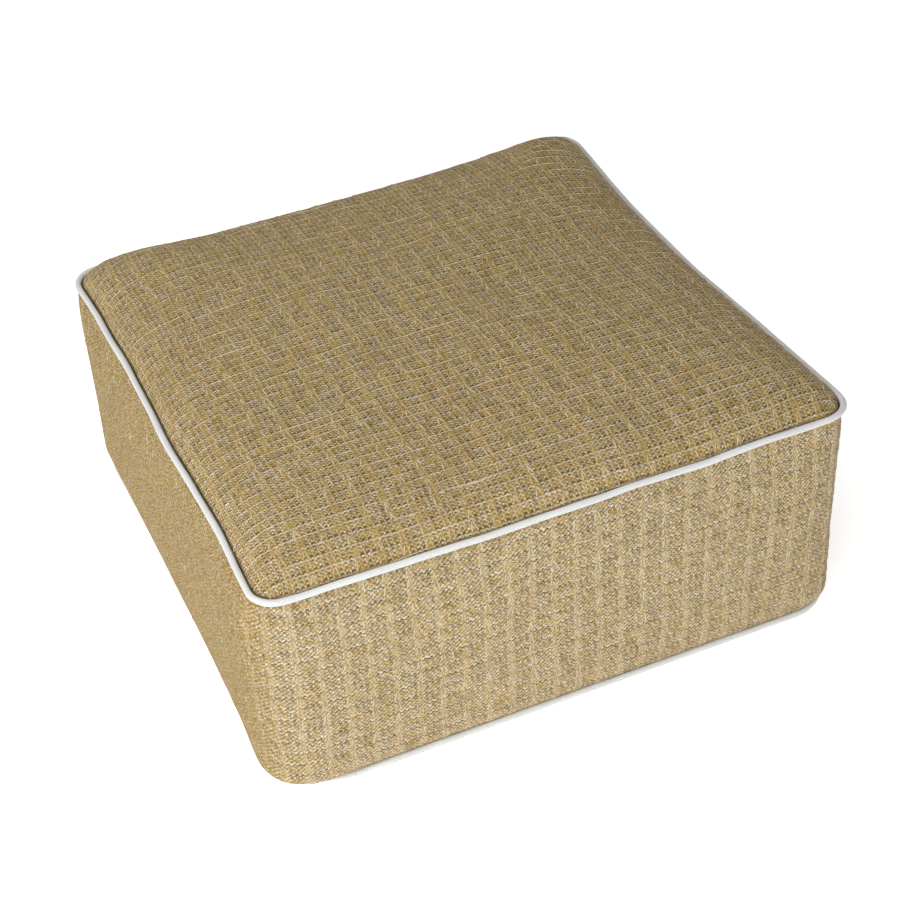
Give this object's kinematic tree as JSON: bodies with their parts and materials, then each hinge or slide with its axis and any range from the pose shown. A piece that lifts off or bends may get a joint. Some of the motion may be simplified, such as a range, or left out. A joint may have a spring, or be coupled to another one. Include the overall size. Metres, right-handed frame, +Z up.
{
  "type": "square pouf stool",
  "caption": "Low square floor pouf stool: a firm filled cloth block with a crowned top, soft rounded corners and a piped seam round its top and its foot.",
  "frame": {"origin": "centre of the footprint, on the floor", "axes": "+Z up through the top panel, +X along the front edge to the right, +Y to the back"},
  "size_m": [0.6218, 0.622, 0.2815],
  "materials": {
    "woven_cloth": "coarse plain weave of ochre and cream yarn with a faint check of ribs and slub lines",
    "welt_cloth": "fine off-white cotton wrapped round a cord"
  },
  "bodies": {
    "root": {"pouf_body": "woven_cloth", "piping_top": "welt_cloth", "piping_bottom": "welt_cloth"}
  },
  "joints": []
}
